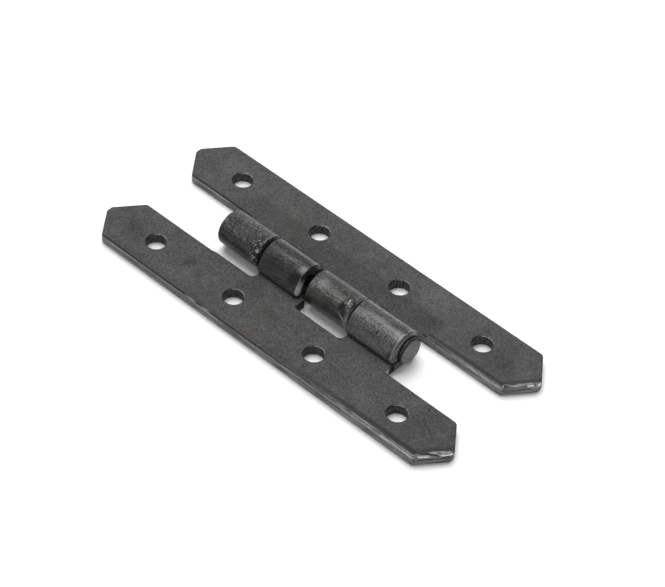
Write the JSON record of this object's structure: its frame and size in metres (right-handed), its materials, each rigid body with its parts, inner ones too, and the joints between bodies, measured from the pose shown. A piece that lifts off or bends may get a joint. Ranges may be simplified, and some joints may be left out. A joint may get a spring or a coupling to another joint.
{
  "type": "h hinge",
  "caption": "Flat wrought H hinge with two pointed leaves joined by rolled knuckles on one pin, lying open on its back.",
  "frame": {"origin": "centre of the hinge's bounding box, on the plane of the leaves' backs", "axes": "+Y along the pin towards its plain end, +X across to the right leaf, +Z from the backs to the knuckles"},
  "size_m": [0.0418, 0.1016, 0.0085],
  "materials": {
    "leaf_steel": "blackened and waxed, satin",
    "pin_steel": "blackened and waxed, satin"
  },
  "bodies": {
    "left_side": {"left_leaf": "leaf_steel"},
    "right_side": {"right_leaf": "leaf_steel", "pin": "pin_steel"}
  },
  "joints": [
    {"name": "hinge", "type": "hinge", "parent": "left_side", "child": "right_side", "pos_m": [0, 0, 0.0042], "axis": [0, -1, 0], "range_deg": [-115, 188]}
  ]
}
